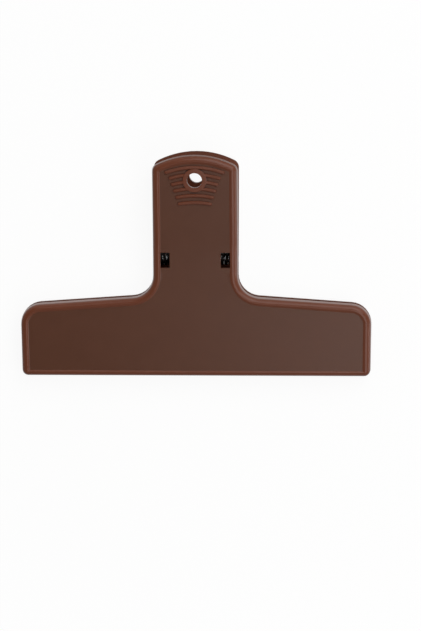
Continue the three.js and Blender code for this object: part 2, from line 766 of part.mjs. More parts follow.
const clip = new THREE.Group();
clip.add(named('front_half', frontHalf(), plastic()), rear, hinge);
clip.rotation.x = restingLean(rearGeometry);
const box = new THREE.Box3().setFromObject(clip, true);
clip.position.set(
  -(box.min.x + box.max.x) / 2,
  -(box.min.y + box.max.y) / 2,
  -box.min.z,
);

const model = new THREE.Group();
model.add(clip);

export default model;
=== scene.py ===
import json
import math

import bpy
from mathutils import Matrix, Vector


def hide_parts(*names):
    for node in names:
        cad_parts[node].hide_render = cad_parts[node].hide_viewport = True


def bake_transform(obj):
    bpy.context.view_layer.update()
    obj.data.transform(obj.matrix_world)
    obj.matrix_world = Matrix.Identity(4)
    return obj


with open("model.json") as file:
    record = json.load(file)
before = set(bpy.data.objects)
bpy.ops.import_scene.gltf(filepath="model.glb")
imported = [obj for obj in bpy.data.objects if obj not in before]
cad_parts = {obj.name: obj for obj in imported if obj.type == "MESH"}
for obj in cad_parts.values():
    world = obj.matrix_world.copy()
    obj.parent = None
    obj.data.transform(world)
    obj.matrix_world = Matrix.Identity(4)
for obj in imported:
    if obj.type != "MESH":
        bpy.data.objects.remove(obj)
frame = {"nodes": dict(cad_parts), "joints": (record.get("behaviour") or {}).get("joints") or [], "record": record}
bpy.context.view_layer.update()

bl_info = {
    "name": "Wide jaw plastic clip",
    "version": (1, 0, 0),
    "blender": (4, 5, 0),
    "location": "3D View > Sidebar > Clip",
    "description": "Finishes a moulded paper clip, winds its spring and sets up a product shot",
    "category": "Object",
}

TRAY_NODES = ("front_half", "rear_half")
PIN_NODE = "hinge_pin"
SPRING_NODE = "torsion_spring"
MM = 0.001


def linear(red, green, blue):
    """Screen colour from 0 to 255 as the linear colour that materials take."""
    parts = [c / 255 for c in (red, green, blue)]
    return tuple(c / 12.92 if c <= 0.04045 else ((c + 0.055) / 1.055) ** 2.4 for c in parts)


def hinge_place():
    """Middle of the hinge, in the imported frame."""
    return Vector(frame["joints"][0]["pos_m"])


def resting_lean():
    """Angle by which the clip tips when it lies on its back, from the slopes of its two faces."""
    axes = {m["name"]: Vector(m["axis"]) for m in frame["record"]["mounts"]}
    forward = axes["front_jaw_face"] - axes["rear_jaw_face"]
    return math.atan2(-forward.y, forward.z)


# Sizes and colours that a user may change


def length(name, description, default, low=0.0):
    return bpy.props.FloatProperty(
        name=name, description=description, default=default, min=low,
        subtype="DISTANCE", unit="LENGTH", precision=5,
    )


def share(name, description, default):
    return bpy.props.FloatProperty(
        name=name, description=description, default=default, min=0.0, max=1.0, subtype="FACTOR",
    )


def angle(name, description, degrees):
    return bpy.props.FloatProperty(
        name=name, description=description, default=math.radians(degrees),
        subtype="ANGLE", unit="ROTATION",
    )


def colour(name, description, default):
    return bpy.props.FloatVectorProperty(
        name=name, description=description, default=default, size=3, min=0.0, max=1.0,
        subtype="COLOR",
    )


def power(name, description, default):
    return bpy.props.FloatProperty(
        name=name, description=description, default=default, min=0.0, unit="POWER",
    )


def place(name, description, default):
    return bpy.props.FloatVectorProperty(
        name=name, description=description, default=default, size=3,
        subtype="TRANSLATION", unit="LENGTH",
    )


class PlasticFinish(bpy.types.PropertyGroup):
    """Looks of the moulded plastic"""

    body: colour(
        "Body colour", "Colour of the glossy rims, ridges and walls", (0.12, 0.033, 0.0145)
    )
    face: colour("Face colour", "Colour of the matte sunk faces", (0.082, 0.0285, 0.0138))
    pale: colour("Rubbed colour", "Colour of the plastic along handled edges", (0.16, 0.06, 0.036))
    mottle: share("Mottle", "How far the colour drifts over the faces", 0.04)
    roughness: share("Roughness", "Roughness of the glossy rims, ridges and walls", 0.29)
    face_roughness: share("Face roughness", "Roughness of the matte sunk faces", 0.29)
    shine: share("Shine", "Specular level of the glossy rims, ridges and walls", 0.32)
    face_shine: share("Face shine", "Specular level of the matte sunk faces", 0.32)
    grain: length("Grain", "Width of one grain of the satin texture", 0.28 * MM)
    grain_depth: length("Grain depth", "Depth of the satin texture", 0.004 * MM)
    flow: length("Flow marks", "Width of the faint waves left by moulding", 9 * MM)
    edge_width: length("Edge width", "Width of the rubbed band along an edge", 0.12 * MM)
    edge_wear: share("Edge wear", "Strength of the rubbed edges", 0.15)
    # Reach and strength of the painted shade in the inner corners
    corner_reach: length("Corner reach", "How far a darker corner reaches out", 0.9 * MM)
    corner_shade: share("Corner shade", "How much darker the inner corners are", 0.8)
    scratch_spacing: length("Scratch spacing", "Distance between hairline scratches", 5 * MM)
    scratch_wear: share("Scratches", "Strength of the hairline scratches", 0.12)
    smooth_under: angle("Smooth under", "Facets that meet at less than this are smoothed", 28)


class TrayShape(bpy.types.PropertyGroup):
    """Where the sunk face of a moulded half lies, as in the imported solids"""

    hinge: length("Hinge height", "From the lips to the hinge axis", 51 * MM)
    lip_gap: length("Lip gap", "Between the closed lips", 0.3 * MM)
    jaw_lean: angle("Jaw lean", "Lean of a jaw out from the plane between the halves", 3)
    handle_lean: angle("Handle lean", "Lean of a handle out from the same plane", 7)
    bend: length("Bend", "Stretch round the hinge where one lean turns into the other", 16 * MM)
    face: length("Face", "Height of the sunk face over a half's open edge", 4.75 * MM)


class SteelFinish(bpy.types.PropertyGroup):
    """Looks of the pin and the spring wire"""

    pin: colour("Pin colour", "Colour of the plated hinge pin", linear(196, 197, 199))
    pin_roughness: share("Pin roughness", "Roughness of the plated pin", 0.27)
    wire: colour("Wire colour", "Colour of the drawn spring wire", linear(26, 25, 24))
    wire_dark: colour("Oil colour", "Colour of the oil film left on the wire", linear(12, 11, 11))
    wire_roughness: share("Wire roughness", "Roughness of the spring wire", 0.45)
    draw_line: length("Draw lines", "Width of the fine lines along the wire", 0.05 * MM)


class SpringSizes(bpy.types.PropertyGroup):
    """Sizes of the torsion spring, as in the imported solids"""

    wire: length("Wire", "Diameter of the wire", 1.2 * MM)
    coil_radius: length("Coil radius", "From the hinge to the middle of the wire", 2.4 * MM)
    outside: length("Coil outside", "Outer leg's distance from the middle of the clip", 15 * MM)
    pitch: length("Pitch", "Step of one turn along the hinge", 1.7 * MM)
    sweep: angle("Sweep", "Angle that each coil winds through", 1233.6247)
    leg: length("Leg", "Length of each outer leg", 24 * MM)
    leg_lean: angle("Leg lean", "Lean of the outer legs towards the front handle", 12.6162)
    bridge: length("Bridge", "From the coils up to the cross bar", 20 * MM)
    bridge_lean: angle("Bridge lean", "Lean of the bridge towards the rear handle", 13.7591)
    corner: length("Corner", "Radius of the cross bar's two corners", 2.5 * MM)
    burr: length("Cut end", "Chamfer on the cut ends of the wire", 0.15 * MM)


class StudioSettings(bpy.types.PropertyGroup):
    """Floor, lights and camera of the product shot"""

    floor: length("Floor", "Side of the pale floor", 16.0)
    far_gloss: share("Far gloss", "Brightness mirrored from the floor past the handle", 0.15)
    shadow_share: share("Shadow", "Share of the floor's own shading near the clip", 0.08)
    below_across: length(
        "Below, across", "Half of the floor's full shading, measured along the hinge", 15.5 * MM
    )
    below_along: length(
        "Below, along", "Half of the floor's full shading, measured across the hinge", 5.5 * MM
    )
    fade_across: length("Fade, across", "Width of its fade along the hinge", 2.5 * MM)
    fade_along: length("Fade, along", "Width of its fade across the hinge", 9 * MM)
    shadow_near: length("Shadow near", "Reach of the full shadow share", 0.13)
    shadow_far: length("Shadow far", "Distance at which the floor turns plain white", 0.3)
    low_glow: bpy.props.FloatProperty(
        name="Low glow", description="Brightness of the low white wall past the handle",
        default=1.3, min=0.0,
    )
    horizon: share("Horizon", "Brightness of the room round the clip", 0.45)
    overhead: share("Overhead", "Brightness of the room above the clip", 0.15)
    key: place("Key light", "Softbox past the handle", (0.3, 0.5, 0.85))
    key_side: length("Key size", "Side of the key softbox", 0.8)
    key_power: power("Key power", "Power of the key softbox", 6.0)
    right: place("Right light", "Low softbox that lines the right edges", (0.7, -0.16, 0.1))
    right_side: length("Right size", "Side of the right softbox", 0.14)
    right_power: power("Right power", "Power of the right softbox", 0.45)
    haze: place("Haze light", "Softbox mirrored in the jaw's right end", (0.3, -0.27, 0.8))
    haze_side: length("Haze size", "Side of the haze softbox", 0.5)
    haze_power: power("Haze power", "Power of the haze softbox", 2.4)
    target: place(
        "Target", "Point in the middle of the picture", (6.44 * MM, -22.3 * MM, 13 * MM)
    )
    distance: length("Distance", "From the camera to the target", 1.5)
    view_right: angle("View from the right", "Angle of the camera towards the right", 2.3)
    view_top: angle("View from the top", "Angle of the camera towards the handle", 3.2)
    roll: angle("Roll", "Turn of the picture", -0.05)
    focal: bpy.props.FloatProperty(
        name="Focal length", description="Lens of the camera", default=198.25, min=1.0,
        subtype="DISTANCE_CAMERA",
    )


class ClipSettings(bpy.types.PropertyGroup):
    """All settings of the clip"""

    plastic: bpy.props.PointerProperty(type=PlasticFinish)
    tray: bpy.props.PointerProperty(type=TrayShape)
    steel: bpy.props.PointerProperty(type=SteelFinish)
    spring: bpy.props.PointerProperty(type=SpringSizes)
    studio: bpy.props.PointerProperty(type=StudioSettings)


# Nodes


def feed(tree, socket, value):
    """Joins another socket to this one, or sets it to a number or colour."""
    if isinstance(value, bpy.types.NodeSocket):
        tree.links.new(value, socket)
    else:
        socket.default_value = value


def put(tree, kind, inputs=None, **settings):
    """A node with its settings, and its inputs fed by name."""
    node = tree.nodes.new(kind)
    for name, value in settings.items():
        setattr(node, name, value)
    for name, value in (inputs or {}).items():
        feed(tree, node.inputs[name], value)
    return node


def sums(tree, operation, first, second=0.0, clamp=False):
    """Result of one sum on two numbers or sockets."""
    return put(
        tree, "ShaderNodeMath", {0: first, 1: second}, operation=operation, use_clamp=clamp
    ).outputs[0]


def stretch(tree, value, low, high, to_low=0.0, to_high=1.0):
    """Value from low..high brought to to_low..to_high, and held there."""
    node = put(tree, "ShaderNodeMapRange", {
        "Value": value, "From Min": low, "From Max": high, "To Min": to_low, "To Max": to_high,
    })
    return node.outputs["Result"]


def contrast(tree, value, swing, to_low=0.0, to_high=1.0):
    """Noise from within a swing of its middle brought to to_low..to_high, and held there."""
    return stretch(tree, value, 0.5 - swing, 0.5 + swing, to_low, to_high)


def tint(tree, factor, first, second):
    """Colour between two colours, each a socket or a tuple of three."""
    node = put(tree, "ShaderNodeMix", data_type="RGBA")
    for name, value in (("Factor_Float", factor), ("A_Color", first), ("B_Color", second)):
        socket = next(s for s in node.inputs if s.identifier == name)
        feed(tree, socket, (*value, 1.0) if isinstance(value, tuple) else value)
    return next(s for s in node.outputs if s.identifier == "Result_Color")


def new_group(name, inputs, outputs):
    """Shader group with named number inputs, and its input and output nodes."""
    tree = bpy.data.node_groups.new(name, "ShaderNodeTree")
    for label, default in inputs.items():
        socket = tree.interface.new_socket(label, in_out="INPUT", socket_type="NodeSocketFloat")
        socket.default_value = default
    for label, kind in outputs.items():
        tree.interface.new_socket(label, in_out="OUTPUT", socket_type=kind)
    return tree, tree.nodes.new("NodeGroupInput"), tree.nodes.new("NodeGroupOutput")


def use_group(tree, group, inputs):
    """The group placed in a material with that material's own values."""
    return put(tree, "ShaderNodeGroup", inputs, node_tree=group)


def noise(tree, per_metre, detail=2.0, roughness=0.5, vector=None):
    """Noise with so many waves per metre of the object, or per unit of another vector."""
    if vector is None:
        vector = tree.nodes.new("ShaderNodeTexCoord").outputs["Object"]
    return put(tree, "ShaderNodeTexNoise", {
        "Vector": vector, "Scale": per_metre, "Detail": detail, "Roughness": roughness,
    }).outputs["Fac"]


def moulded_grain():
    """Fine satin grain over slow flow marks, as a height, and a drift for colour and gloss."""
    tree, given, result = new_group(
        "moulded_grain",
        {"Grain": 0.3 * MM, "Flow": 9 * MM},
        {"Height": "NodeSocketFloat", "Drift": "NodeSocketFloat"},
    )
    fine = noise(tree, sums(tree, "DIVIDE", 1.0, given.outputs["Grain"]), detail=3.0)
    slow = noise(tree, sums(tree, "DIVIDE", 1.0, given.outputs["Flow"]), detail=4.0, roughness=0.6)
    tree.links.new(fine, result.inputs["Height"])
    tree.links.new(contrast(tree, slow, 0.25), result.inputs["Drift"])
    return tree


def rubbed_edges():
    """Mask of a band along sharp edges, broken up, and the normal of the edge once rounded."""
    tree, given, result = new_group(
        "rubbed_edges",
        {"Width": 0.2 * MM},
        {"Mask": "NodeSocketFloat", "Rounded": "NodeSocketVector"},
    )
    bevel = put(tree, "ShaderNodeBevel", {"Radius": given.outputs["Width"]}, samples=6)
    surface = tree.nodes.new("ShaderNodeNewGeometry")
    across = put(
        tree, "ShaderNodeVectorMath",
        {0: bevel.outputs["Normal"], 1: surface.outputs["Normal"]}, operation="DOT_PRODUCT",
    )
    unworn, worn = 0.97, 0.75  # cosine between the rounded and the plain normal
    patches_per_metre, least_wear = 900.0, 0.35
    edge = stretch(tree, across.outputs["Value"], unworn, worn)
    patches = noise(tree, patches_per_metre, detail=4.0, roughness=0.65)
    patchy = contrast(tree, patches, 0.1, least_wear, 1.0)
    tree.links.new(sums(tree, "MULTIPLY", edge, patchy), result.inputs["Mask"])
    tree.links.new(bevel.outputs["Normal"], result.inputs["Rounded"])
    return tree


def painted_corner_shade():
    """Mask of the painted shade in the inner corners, strongest right where two walls meet."""
    tree, given, result = new_group(
        "painted_corner_shade", {"Reach": 1 * MM}, {"Mask": "NodeSocketFloat"}
    )
    hidden = put(
        tree, "ShaderNodeAmbientOcclusion", {"Distance": given.outputs["Reach"]},
        samples=16, only_local=True,
    )
    open_to, corner_from = 0.8, 0.5  # share of the sky that is seen
    mask = stretch(tree, hidden.outputs["AO"], open_to, corner_from)
    tree.links.new(mask, result.inputs["Mask"])
    return tree


def hairline_scratches():
    """Mask of fine straight scratches that run in a few directions."""
    tree, given, result = new_group(
        "hairline_scratches", {"Spacing": 5 * MM}, {"Mask": "NodeSocketFloat"}
    )
    spot = tree.nodes.new("ShaderNodeTexCoord").outputs["Object"]
    per_metre = sums(tree, "DIVIDE", 1.0, given.outputs["Spacing"])
    long_and_thin = (0.12, 3.0, 0.3)
    half_width = 0.004  # of a scratch, as a step of the noise
    patches_per_metre, bare_to, scratched_from = 45.0, 0.52, 0.66
    layers = []
    for turn, crowd in ((0.5, 1.0), (-0.9, 0.8), (2.3, 1.2)):
        turned = put(tree, "ShaderNodeMapping", {
            "Vector": spot, "Rotation": (0.0, 0.0, turn), "Scale": long_and_thin,
        }).outputs["Vector"]
        line = noise(tree, sums(tree, "MULTIPLY", per_metre, crowd), detail=1.0, vector=turned)
        near = sums(tree, "ABSOLUTE", sums(tree, "SUBTRACT", line, 0.5))
        layers.append(stretch(tree, near, 0.0, half_width, 1.0, 0.0))
    most = sums(tree, "MAXIMUM", sums(tree, "MAXIMUM", layers[0], layers[1]), layers[2])
    here = stretch(tree, noise(tree, patches_per_metre), bare_to, scratched_from)
    tree.links.new(sums(tree, "MULTIPLY", most, here), result.inputs["Mask"])
    return tree


def sunk_face(tray):
    """Mask of the matte faces, which lie at one height over a half's open edge."""
    tree, _, result = new_group("sunk_face", {}, {"Mask": "NodeSocketFloat"})
    here = tree.nodes.new("ShaderNodeTexCoord")
    lean = resting_lean()
    up = (0.0, math.cos(lean), math.sin(lean))
    out = (0.0, -math.sin(lean), math.cos(lean))

    def share_along(vector, way):
        return put(
            tree, "ShaderNodeVectorMath", {0: vector, 1: way}, operation="DOT_PRODUCT"
        ).outputs["Value"]

    spot = put(
        tree, "ShaderNodeVectorMath", {0: here.outputs["Object"], 1: hinge_place()},
        operation="SUBTRACT",
    ).outputs["Vector"]
    height = sums(tree, "ABSOLUTE", share_along(spot, out))
    rise = share_along(spot, up)
    jaw_slope, handle_slope = math.tan(tray.jaw_lean), math.tan(tray.handle_lean)
    from_lips = sums(tree, "ADD", rise, tray.hinge)
    edge = sums(tree, "ADD", sums(tree, "MULTIPLY", from_lips, jaw_slope), tray.lip_gap / 2)
    in_bend = stretch(tree, rise, -tray.bend / 2, tray.bend / 2, 0.0, tray.bend)
    curve = sums(tree, "DIVIDE", sums(tree, "MULTIPLY", in_bend, in_bend), 2 * tray.bend)
    past = sums(tree, "MAXIMUM", sums(tree, "SUBTRACT", rise, tray.bend / 2), 0.0)
    more = sums(tree, "MULTIPLY", sums(tree, "ADD", curve, past), handle_slope - jaw_slope)
    over = sums(tree, "SUBTRACT", height, sums(tree, "ADD", edge, more))
    off = sums(tree, "ABSOLUTE", sums(tree, "SUBTRACT", over, tray.face))
    on_face, off_face = 0.03 * MM, 0.1 * MM
    tilted, square = 0.94, 0.98  # cosine between the surface and the way out
    level = stretch(tree, off, on_face, off_face, 1.0, 0.0)
    facing = sums(tree, "ABSOLUTE", share_along(here.outputs["Normal"], out))
    mask = sums(tree, "MULTIPLY", level, stretch(tree, facing, tilted, square))
    tree.links.new(mask, result.inputs["Mask"])
    return tree


def new_material(name):
    """Material with only its output, and that output."""
    material = bpy.data.materials.new(name)
    material.use_nodes = True
    tree = material.node_tree
    tree.nodes.clear()
    return material, tree, tree.nodes.new("ShaderNodeOutputMaterial")


def effect(name, build):
    """Node group of that name, built the first time it is asked for."""
    return bpy.data.node_groups.get(name) or build()


def brown_plastic(finish, tray):
    """Brown plastic, matte on the sunk faces and glossy on the rims, with rubbed edges and painted shade in its
    inner corners.
    """
    material, tree, result = new_material("brown_moulded_plastic")
    grain = use_group(tree, effect("moulded_grain", moulded_grain), {
        "Grain": finish.grain, "Flow": finish.flow,
    })
    edges = use_group(tree, effect("rubbed_edges", rubbed_edges), {"Width": finish.edge_width})
    scratches = use_group(tree, effect("hairline_scratches", hairline_scratches), {
        "Spacing": finish.scratch_spacing,
    })
    # Painted shade: the inner corners lose the matte face's colour and gloss, and are darkened towards black
    corner = use_group(tree, effect("painted_corner_shade", painted_corner_shade), {
        "Reach": finish.corner_reach,
    }).outputs["Mask"]
    sunk = use_group(tree, sunk_face(tray), {}).outputs["Mask"]
    matte = sums(tree, "MULTIPLY", sunk, sums(tree, "SUBTRACT", 1.0, corner))
    deep, light = (
        tint(tree, matte, tuple(Vector(finish.body) * part), tuple(Vector(finish.face) * part))
        for part in (1 - finish.mottle, 1 + finish.mottle)
    )
    even = tint(tree, grain.outputs["Drift"], deep, light)
    black = (0.0, 0.0, 0.0)
    # Painted shade darkens the inner corners towards black
    shaded = tint(tree, sums(tree, "MULTIPLY", corner, finish.corner_shade), even, black)
    worn = sums(tree, "MULTIPLY", edges.outputs["Mask"], finish.edge_wear)
    marked = sums(tree, "MULTIPLY", scratches.outputs["Mask"], finish.scratch_wear)
    pale = tuple(finish.pale)
    rubbed = tint(tree, sums(tree, "ADD", worn, marked, clamp=True), shaded, pale)
    # A denoised picture shows blotches where the roughness crosses about 0.274. So the drift
    # only adds to it, and the rubbed edges take off very little.
    drift_reach, edge_polish = 0.03, 0.014
    own = stretch(tree, matte, 0.0, 1.0, finish.roughness, finish.face_roughness)
    drift = stretch(tree, grain.outputs["Drift"], 0.0, 1.0, 0.0, drift_reach)
    gloss = sums(tree, "ADD", own, drift)
    polish = sums(tree, "MULTIPLY", edges.outputs["Mask"], edge_polish)
    polished = sums(tree, "SUBTRACT", gloss, polish)
    glossy_bump, matte_bump = 0.15, 0.4
    bump = put(tree, "ShaderNodeBump", {
        "Strength": stretch(tree, matte, 0.0, 1.0, glossy_bump, matte_bump),
        "Distance": finish.grain_depth,
        "Height": grain.outputs["Height"], "Normal": edges.outputs["Rounded"],
    })
    shader = put(tree, "ShaderNodeBsdfPrincipled", {
        "Base Color": rubbed, "Roughness": polished, "Normal": bump.outputs["Normal"],
        "IOR": 1.46,
        "Specular IOR Level": stretch(tree, matte, 0.0, 1.0, finish.shine, finish.face_shine),
    })
    tree.links.new(shader.outputs["BSDF"], result.inputs["Surface"])
    return material


def plated_pin(finish):
    """Zinc plated steel with faint lathe lines round the pin."""
    material, tree, result = new_material("plated_pin_steel")
    short_along_pin = (12.0, 0.4, 0.4)
    lines_per_metre, blotches_per_metre = 1500.0, 700.0
    edge_width, line_depth = 0.12 * MM, 0.002 * MM
    darkest, edge_shine = 0.86, 0.4
    smoother, rougher = 0.06, 0.1
    spot = tree.nodes.new("ShaderNodeTexCoord").outputs["Object"]
    round_pin = put(tree, "ShaderNodeMapping", {
        "Vector": spot, "Scale": short_along_pin,
    }).outputs["Vector"]
    lines = noise(tree, lines_per_metre, detail=3.0, vector=round_pin)
    edges = use_group(tree, effect("rubbed_edges", rubbed_edges), {"Width": edge_width})
    base = Vector(finish.pin)
    blotch = contrast(tree, noise(tree, blotches_per_metre, detail=3.0), 0.15)
    shade = tint(tree, blotch, tuple(base * darkest), tuple(base))
    shine = sums(tree, "MULTIPLY", edges.outputs["Mask"], edge_shine)
    bright = tint(tree, shine, shade, linear(232, 232, 232))
    rough = contrast(
        tree, lines, 0.2, finish.pin_roughness - smoother, finish.pin_roughness + rougher
    )
    bump = put(tree, "ShaderNodeBump", {
        "Strength": 0.4, "Distance": line_depth, "Height": lines,
        "Normal": edges.outputs["Rounded"],
    })
    shader = put(tree, "ShaderNodeBsdfPrincipled", {
        "Base Color": bright, "Metallic": 1.0, "Roughness": rough,
        "Normal": bump.outputs["Normal"],
    })
    tree.links.new(shader.outputs["BSDF"], result.inputs["Surface"])
    return material


def drawn_wire(finish):
    """Drawn spring wire: fine lines along it, and an oil film left in patches."""
    material, tree, result = new_material("drawn_spring_wire")
    breaks_per_metre, patches_per_metre = 60.0, 520.0
    bare_to, oiled_from = 0.44, 0.62
    streaks, swing, oil_rough = 0.15, 0.07, 0.12
    line_depth = 0.003 * MM
    along = tree.nodes.new("ShaderNodeTexCoord").outputs["UV"]
    lined = put(tree, "ShaderNodeMapping", {
        "Vector": along, "Scale": (breaks_per_metre, 1.0 / finish.draw_line, 1.0),
    }).outputs["Vector"]
    lines = noise(tree, 1.0, vector=lined)
    patches = noise(tree, patches_per_metre, detail=4.0, roughness=0.6)
    film = stretch(tree, patches, bare_to, oiled_from)
    shade = tint(tree, film, tuple(finish.wire), tuple(finish.wire_dark))
    streaked = tint(tree, contrast(tree, lines, 0.15, 0.0, streaks), shade, linear(90, 88, 86))
    rough = sums(
        tree, "ADD",
        contrast(tree, lines, 0.2, finish.wire_roughness - swing, finish.wire_roughness + swing),
        sums(tree, "MULTIPLY", film, oil_rough),
    )
    bump = put(tree, "ShaderNodeBump", {
        "Strength": 0.4, "Distance": line_depth, "Height": lines,
    })
    shader = put(tree, "ShaderNodeBsdfPrincipled", {
        "Base Color": streaked, "Metallic": 1.0, "Roughness": rough,
        "Specular Tint": (0.3, 0.3, 0.3, 1.0), "Normal": bump.outputs["Normal"],
    })
    tree.links.new(shader.outputs["BSDF"], result.inputs["Surface"])
    return material


def smooth_facets():
    """Geometry group that joins the facets of a solid and smooths them where they meet flatly."""
    same_point = 0.0004 * MM
    tree = bpy.data.node_groups.new("smooth_facets", "GeometryNodeTree")
    tree.is_modifier = True
    tree.interface.new_socket("Mesh", in_out="INPUT", socket_type="NodeSocketGeometry")
    limit = tree.interface.new_socket("Angle", in_out="INPUT", socket_type="NodeSocketFloat")
    limit.subtype = "ANGLE"
    tree.interface.new_socket("Mesh", in_out="OUTPUT", socket_type="NodeSocketGeometry")
    given, result = tree.nodes.new("NodeGroupInput"), tree.nodes.new("NodeGroupOutput")
    bare = put(tree, "GeometryNodeRemoveAttribute", {
        "Geometry": given.outputs["Mesh"], "Name": "custom_normal",
    })
    joined = put(tree, "GeometryNodeMergeByDistance", {
        "Geometry": bare.outputs["Geometry"], "Distance": same_point,
    })
    faces = put(tree, "GeometryNodeSetShadeSmooth", {
        "Geometry": joined.outputs["Geometry"], "Shade Smooth": True,
    }, domain="FACE")
    fold = tree.nodes.new("GeometryNodeInputMeshEdgeAngle")
    flat = put(tree, "FunctionNodeCompare", {
        "A": fold.outputs["Unsigned Angle"], "B": given.outputs["Angle"],
    }, data_type="FLOAT", operation="LESS_THAN")
    edges = put(tree, "GeometryNodeSetShadeSmooth", {
        "Geometry": faces.outputs["Geometry"], "Shade Smooth": flat.outputs["Result"],
    }, domain="EDGE")
    tree.links.new(edges.outputs["Geometry"], result.inputs["Mesh"])
    return tree


def soften(piece, limit):
    """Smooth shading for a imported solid, by modifiers that leave its large faces level."""
    modifier = piece.modifiers.new("smooth_facets", "NODES")
    group = effect("smooth_facets", smooth_facets)
    modifier.node_group = group
    socket = next(s for s in group.interface.items_tree if s.name == "Angle")
    modifier[socket.identifier] = limit
    large_faces_first = 90
    level = piece.modifiers.new("level_faces", "WEIGHTED_NORMAL")
    level.mode = "FACE_AREA"
    level.weight = large_faces_first
    level.keep_sharp = True


def dress(piece, material):
    """Puts one material on the whole piece."""
    piece.data.materials.clear()
    piece.data.materials.append(material)


# Spring


def coil_inside(sizes):
    """Distance from the middle of the clip to where a coil turns into its bridge."""
    return sizes.outside - sizes.pitch * sizes.sweep / (2 * math.pi)


def half_spring_line(sizes, side):
    """Middle line of one half of the spring, from the tip of its outer leg round its coil and up
    the bridge to the middle of the cross bar, in the clip's own frame round the hinge."""
    step = math.radians(7.5)
    start = math.pi / 2 + sizes.leg_lean
    inside = coil_inside(sizes)

    def on_coil(turn, x):
        return Vector((x, sizes.coil_radius * math.cos(turn), sizes.coil_radius * math.sin(turn)))

    leg_way = Vector((0, math.cos(sizes.leg_lean), math.sin(sizes.leg_lean)))
    bridge_way = Vector((0, math.cos(sizes.bridge_lean), -math.sin(sizes.bridge_lean)))
    foot = on_coil(start, sizes.outside)
    leg_steps = 12
    line = [foot + leg_way * sizes.leg * (1 - i / leg_steps) for i in range(leg_steps)]
    steps = round(sizes.sweep / step)
    for i in range(steps + 1):
        part = i / steps
        x = sizes.outside + (inside - sizes.outside) * part
        line.append(on_coil(start + sizes.sweep * part, x))
    root = line[-1]
    rise = sizes.bridge - sizes.corner
    bridge_steps = 8
    line += [root + bridge_way * rise * i / bridge_steps for i in range(1, bridge_steps)]
    turn_from = root + bridge_way * rise
    corner_steps = 12
    for i in range(corner_steps + 1):
        bend = math.pi / 2 * i / corner_steps
        point = turn_from + bridge_way * sizes.corner * math.sin(bend)
        point.x -= sizes.corner * (1 - math.cos(bend))
        line.append(point)
    last = line[-1]
    bar_steps = 6
    for i in range(1, bar_steps + 1):
        line.append(Vector((last.x * (1 - i / bar_steps), last.y, last.z)))
    return [Vector((side * p.x, p.y, p.z)) for p in line]


def round_bar(name, line, diameter, burr, sides=16):
    """Closed round bar along a line, chamfered at its free end, with its length in the UV map."""
    steps = [b - a for a, b in zip(line, line[1:])]
    ways = [steps[0].normalized()]
    ways += [(a.normalized() + b.normalized()).normalized() for a, b in zip(steps, steps[1:])]
    ways.append(steps[-1].normalized())
    across = Vector((1, 0, 0))
    rings, lengths, run = [], [], 0.0
    for i, (point, way) in enumerate(zip(line, ways)):
        across = (across - way * across.dot(way)).normalized()
        run += steps[i - 1].length if i else 0.0
        radii = [(point, diameter / 2)]
        if i == 0:
            radii = [(point, diameter / 2 - burr), (point + way * burr, diameter / 2)]
        for middle, radius in radii:
            rings.append((middle, across.copy(), way.cross(across), radius))
            lengths.append(run)
    places = [
        middle + (a * math.cos(t) + b * math.sin(t)) * radius
        for middle, a, b, radius in rings
        for t in (2 * math.pi * k / sides for k in range(sides))
    ]
    faces = []
    for i in range(len(rings) - 1):
        ring, following = i * sides, (i + 1) * sides
        for k in range(sides):
            after = (k + 1) % sides
            faces.append((ring + k, ring + after, following + after, following + k))
    faces.append(tuple(reversed(range(sides))))
    faces.append(tuple(range(len(places) - sides, len(places))))
    mesh = bpy.data.meshes.new(name)
    mesh.from_pydata(places, [], faces)
    run_map = mesh.uv_layers.new(name="along_wire")
    girth = math.pi * diameter
    for face in mesh.polygons:
        for corner in face.loop_indices:
            ring, k = divmod(mesh.loops[corner].vertex_index, sides)
            run_map.data[corner].uv = (lengths[ring], girth * k / sides)
        face.use_smooth = len(face.vertices) == 4
    mesh.validate()
    return mesh


# Stage


def floor_material(studio):
    """Pale floor that keeps a soft shadow near the clip, its full shading right below the hinge,
    and turns plain white further out. Past the handle it is mirrored dimmer than it looks."""
    material, tree, result = new_material("pale_floor")
    spot = tree.nodes.new("ShaderNodeTexCoord").outputs["Object"]
    reach = put(tree, "ShaderNodeVectorMath", {0: spot}, operation="LENGTH").outputs["Value"]
    round_clip = stretch(
        tree, reach, studio.shadow_near, studio.shadow_far, studio.shadow_share, 0.0
    )
    parts = put(tree, "ShaderNodeSeparateXYZ", {"Vector": spot}).outputs
    across, along = (
        stretch(tree, sums(tree, "ABSOLUTE", parts[axis]), full, full + fade, 1.0, 0.0)
        for axis, full, fade in (
            ("X", studio.below_across, studio.fade_across),
            ("Y", studio.below_along, studio.fade_along),
        )
    )
    own = sums(tree, "MAXIMUM", round_clip, sums(tree, "MULTIPLY", across, along))
    rays = tree.nodes.new("ShaderNodeLightPath")
    seen = sums(tree, "MAXIMUM", rays.outputs["Is Camera Ray"], rays.outputs["Is Glossy Ray"])
    white = sums(tree, "MULTIPLY", seen, sums(tree, "SUBTRACT", 1.0, own))
    dims_from, dimmed_from = 0.045, 0.065
    mirrored = stretch(tree, parts["Y"], dims_from, dimmed_from, 1.0, studio.far_gloss)
    strength = sums(
        tree, "MAXIMUM", rays.outputs["Is Camera Ray"],
        sums(tree, "MULTIPLY", rays.outputs["Is Glossy Ray"], mirrored),
    )
    fibres_per_metre = 900.0
    paper = contrast(tree, noise(tree, fibres_per_metre, detail=3.0), 0.2)
    shaded = put(tree, "ShaderNodeBsdfPrincipled", {
        "Base Color": tint(tree, paper, linear(238, 238, 237), linear(244, 244, 243)),
        "Roughness": 0.8, "Specular IOR Level": 0.2,
    })
    glow = put(tree, "ShaderNodeEmission", {"Color": (1.0, 1.0, 1.0, 1.0), "Strength": strength})
    mixed = put(tree, "ShaderNodeMixShader", {
        0: white, 1: shaded.outputs["BSDF"], 2: glow.outputs["Emission"],
    })
    tree.links.new(mixed.outputs["Shader"], result.inputs["Surface"])
    return material


